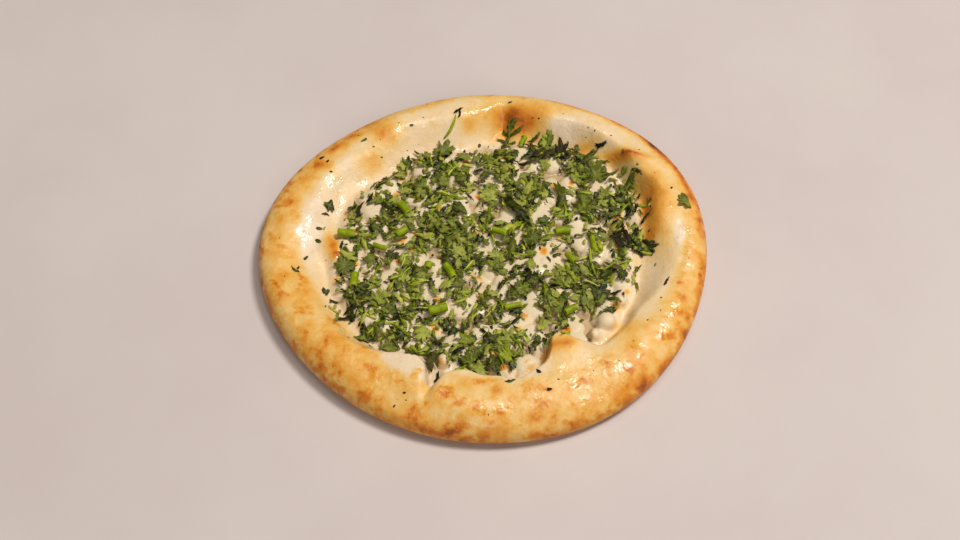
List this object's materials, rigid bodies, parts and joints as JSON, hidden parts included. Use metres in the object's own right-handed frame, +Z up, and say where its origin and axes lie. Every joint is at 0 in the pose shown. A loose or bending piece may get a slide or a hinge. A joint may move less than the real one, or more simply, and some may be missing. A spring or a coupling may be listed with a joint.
{
  "type": "coriander naan bread",
  "caption": "Round leavened flatbread with a thick puffed glazed rim and a pressed, bumpy middle, topped with a loose mat of chopped coriander leaves and stems.",
  "frame": {"origin": "middle of the underside's level, below the middle of the bread's outline", "axes": "+Z up out of the topped face, +X to the bread's right as it lies before the viewer, +Y to its back"},
  "size_m": [0.2108, 0.1918, 0.0188],
  "materials": {
    "baked_dough": "baked wheat crust, pale cream to golden with toasted brown spots, brushed with melted butter",
    "coriander_leaf": "fresh chopped leaves and cut stems, satin, a few of them charred"
  },
  "bodies": {
    "root": {"naan_bread": "baked_dough", "chopped_coriander": "coriander_leaf", "leaf_back": "coriander_leaf", "shred_back": "coriander_leaf", "leaf_right_rim": "coriander_leaf", "flake_left_back": "coriander_leaf", "flake_left_front": "coriander_leaf", "flake_right": "coriander_leaf", "flake_front": "coriander_leaf", "flake_back_left": "coriander_leaf"}
  },
  "joints": []
}
